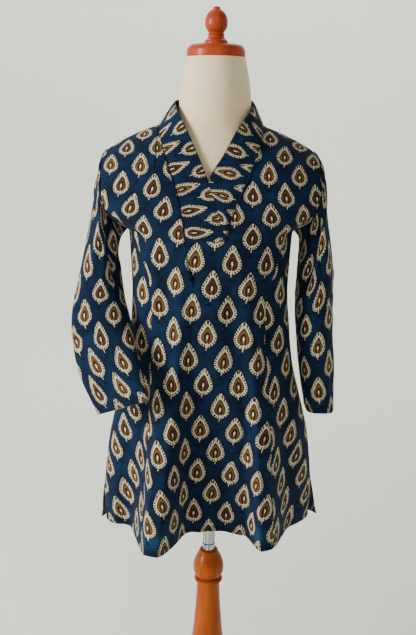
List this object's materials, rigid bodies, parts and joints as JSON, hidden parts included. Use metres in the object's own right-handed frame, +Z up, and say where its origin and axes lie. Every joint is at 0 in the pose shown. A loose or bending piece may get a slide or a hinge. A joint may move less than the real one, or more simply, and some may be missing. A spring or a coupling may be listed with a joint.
{
  "type": "kurta tunic on a dress form stand",
  "caption": "Straight block-print cotton kurta with princess seams, side slits, three-quarter sleeves and a crossed band collar, worn by a limbless dress form on a turned stand.",
  "frame": {"origin": "on the floor at the middle of the base's flat underside, under the pole", "axes": "+Z up along the pole; the kurta's front faces -Y; +X is towards the wearer's left sleeve"},
  "size_m": [0.51, 0.396, 1.556],
  "materials": {
    "printed_cotton": "plain-weave cotton, indigo ground with a cream and ochre leaf print, soft and matt",
    "form_cover": "smooth stretched cream jersey",
    "polished_wood": "turned wood under glossy red-brown lacquer",
    "chromed_tube": "polished chrome"
  },
  "bodies": {
    "root": {"centre_front": "printed_cotton", "right_side_front": "printed_cotton", "left_side_front": "printed_cotton", "back": "printed_cotton", "right_neck_band": "printed_cotton", "left_neck_band": "printed_cotton", "right_sleeve": "printed_cotton", "left_sleeve": "printed_cotton", "torso_form": "form_cover", "neck_cap": "polished_wood", "finial": "polished_wood", "upper_tube": "chromed_tube", "lower_tube": "chromed_tube", "post_ball": "polished_wood", "post_ring": "polished_wood", "post": "polished_wood", "base": "polished_wood"}
  },
  "joints": []
}
